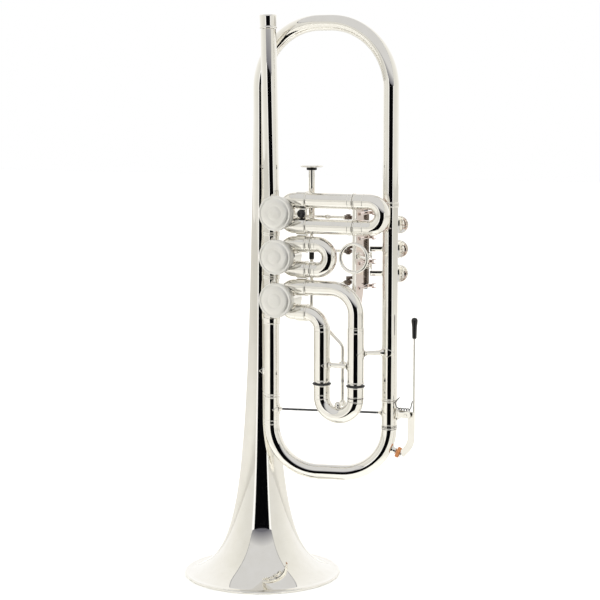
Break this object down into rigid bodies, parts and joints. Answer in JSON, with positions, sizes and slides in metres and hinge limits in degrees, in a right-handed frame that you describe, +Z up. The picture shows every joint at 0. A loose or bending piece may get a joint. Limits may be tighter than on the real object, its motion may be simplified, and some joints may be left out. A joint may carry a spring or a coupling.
{
  "type": "rotary valve trumpet",
  "caption": "Silver-plated trumpet with rotary valves worked by side levers and links, pull-out tuning slides, a flared bell, a finger ring, a slide trigger and a water key.",
  "frame": {"origin": "middle of the plan box, on the plane of the bell rim", "axes": "+Z up the bell axis from the rim, which is also the mouthpiece receiver's direction; +X from the leadpipe towards the return tube; the screw caps of the valves face -Y"},
  "size_m": [0.2022, 0.13, 0.4636],
  "materials": {
    "silver_plate": "polished silver plate over brass",
    "bare_brass": "turned bare brass",
    "steel": "ground steel",
    "cork": "natural cork",
    "black_rubber": "matt black rubber"
  },
  "bodies": {
    "instrument": {"bell": "silver_plate", "bell_bow": "silver_plate", "return_tube": "silver_plate", "leadpipe": "silver_plate", "mouthpiece_receiver": "silver_plate", "lower_main_tube": "silver_plate", "valve_casing_1": "silver_plate", "valve_casing_2": "silver_plate", "valve_casing_3": "silver_plate", "knuckle_ring_1": "silver_plate", "knuckle_ring_2": "silver_plate", "valve_cap_1": "silver_plate", "valve_cap_2": "silver_plate", "valve_cap_3": "silver_plate", "bearing_plate_1": "bare_brass", "bearing_plate_2": "bare_brass", "bearing_plate_3": "bare_brass", "stop_cork_1_rest": "cork", "stop_cork_1_pressed": "cork", "stop_cork_2_rest": "cork", "stop_cork_2_pressed": "cork", "stop_cork_3_rest": "cork", "stop_cork_3_pressed": "cork", "first_slide_sleeve_upper": "silver_plate", "first_slide_sleeve_lower": "silver_plate", "second_slide_sleeve_upper": "silver_plate", "second_slide_sleeve_lower": "silver_plate", "third_slide_sleeve_upper": "silver_plate", "third_slide_sleeve_lower": "silver_plate", "leadpipe_stay": "silver_plate", "bell_stay": "silver_plate", "return_stay": "silver_plate", "lever_carrier": "silver_plate", "lever_axle": "steel", "finger_ring": "silver_plate"},
    "main_slide": {"main_tuning_slide": "silver_plate", "water_key_saddle": "silver_plate"},
    "water_key": {"water_key": "silver_plate", "water_key_cork": "cork"},
    "slide_1": {"first_slide": "silver_plate"},
    "slide_2": {"second_slide": "silver_plate"},
    "slide_3": {"third_slide": "silver_plate", "third_slide_bumper_left": "black_rubber", "third_slide_bumper_right": "black_rubber", "trigger_rod": "silver_plate"},
    "rotor_1": {"rotor_1": "bare_brass", "stop_arm_1": "silver_plate"},
    "lever_1": {"lever_1": "silver_plate", "lever_spring_1": "steel"},
    "link_1": {"link_1": "silver_plate"},
    "rotor_2": {"rotor_2": "bare_brass", "stop_arm_2": "silver_plate"},
    "lever_2": {"lever_2": "silver_plate", "lever_spring_2": "steel"},
    "link_2": {"link_2": "silver_plate"},
    "rotor_3": {"rotor_3": "bare_brass", "stop_arm_3": "silver_plate"},
    "lever_3": {"lever_3": "silver_plate", "lever_spring_3": "steel"},
    "link_3": {"link_3": "silver_plate"}
  },
  "joints": [
    {"name": "main_slide_pull", "type": "slide", "parent": "instrument", "child": "main_slide", "axis": [0, 0, -1], "range_m": [0, 0.04]},
    {"name": "slide_1_pull", "type": "slide", "parent": "instrument", "child": "slide_1", "axis": [1, 0, 0], "range_m": [0, 0.02]},
    {"name": "slide_2_pull", "type": "slide", "parent": "instrument", "child": "slide_2", "axis": [1, 0, 0], "range_m": [0, 0.012]},
    {"name": "slide_3_pull", "type": "slide", "parent": "instrument", "child": "slide_3", "axis": [0, 0, -1], "range_m": [0, 0.01]},
    {"name": "water_key_hinge", "type": "hinge", "parent": "main_slide", "child": "water_key", "pos_m": [0.09281, 0, 0.1451], "axis": [0, -1, 0], "range_deg": [0, 8], "stiffness_Nm_per_rad": 0.05, "springref_deg": -28.65},
    {"name": "lever_1_hinge", "type": "hinge", "parent": "instrument", "child": "lever_1", "pos_m": [0.05091, 0.014, 0.2958], "axis": [0, 0, -1], "range_deg": [0, 26], "stiffness_Nm_per_rad": 0.04, "springref_deg": -51.57},
    {"name": "link_1_hinge", "type": "hinge", "parent": "lever_1", "child": "link_1", "pos_m": [0.04341, -0.005, 0.3026], "axis": [0, 0, 1], "range_deg": [0, 32.37]},
    {"name": "rotor_1_turn", "type": "hinge", "parent": "instrument", "child": "rotor_1", "pos_m": [-0.00759, -0.0208, 0.3062], "axis": [0, 1, 0], "range_deg": [0, 90]},
    {"name": "lever_2_hinge", "type": "hinge", "parent": "instrument", "child": "lever_2", "pos_m": [0.05091, 0.014, 0.276], "axis": [0, 0, -1], "range_deg": [0, 26], "stiffness_Nm_per_rad": 0.04, "springref_deg": -51.57},
    {"name": "link_2_hinge", "type": "hinge", "parent": "lever_2", "child": "link_2", "pos_m": [0.04341, -0.005, 0.2755], "axis": [0, 0, 1], "range_deg": [0, 32.37]},
    {"name": "rotor_2_turn", "type": "hinge", "parent": "instrument", "child": "rotor_2", "pos_m": [-0.00759, -0.0208, 0.2712], "axis": [0, -1, 0], "range_deg": [0, 90]},
    {"name": "lever_3_hinge", "type": "hinge", "parent": "instrument", "child": "lever_3", "pos_m": [0.05091, 0.014, 0.2562], "axis": [0, 0, -1], "range_deg": [0, 26], "stiffness_Nm_per_rad": 0.04, "springref_deg": -51.57},
    {"name": "link_3_hinge", "type": "hinge", "parent": "lever_3", "child": "link_3", "pos_m": [0.04341, -0.005, 0.2505], "axis": [0, 0, 1], "range_deg": [0, 32.37]},
    {"name": "rotor_3_turn", "type": "hinge", "parent": "instrument", "child": "rotor_3", "pos_m": [-0.00759, -0.0208, 0.2362], "axis": [0, -1, 0], "range_deg": [0, 90]}
  ],
  "couplings": [
    {"joint": "rotor_1_turn", "follows": "lever_1_hinge", "ratio": 3.4615},
    {"joint": "link_1_hinge", "follows": "lever_1_hinge", "ratio": 1.243},
    {"joint": "rotor_2_turn", "follows": "lever_2_hinge", "ratio": 3.4615},
    {"joint": "link_2_hinge", "follows": "lever_2_hinge", "ratio": 1.243},
    {"joint": "rotor_3_turn", "follows": "lever_3_hinge", "ratio": 3.4615},
    {"joint": "link_3_hinge", "follows": "lever_3_hinge", "ratio": 1.243}
  ]
}
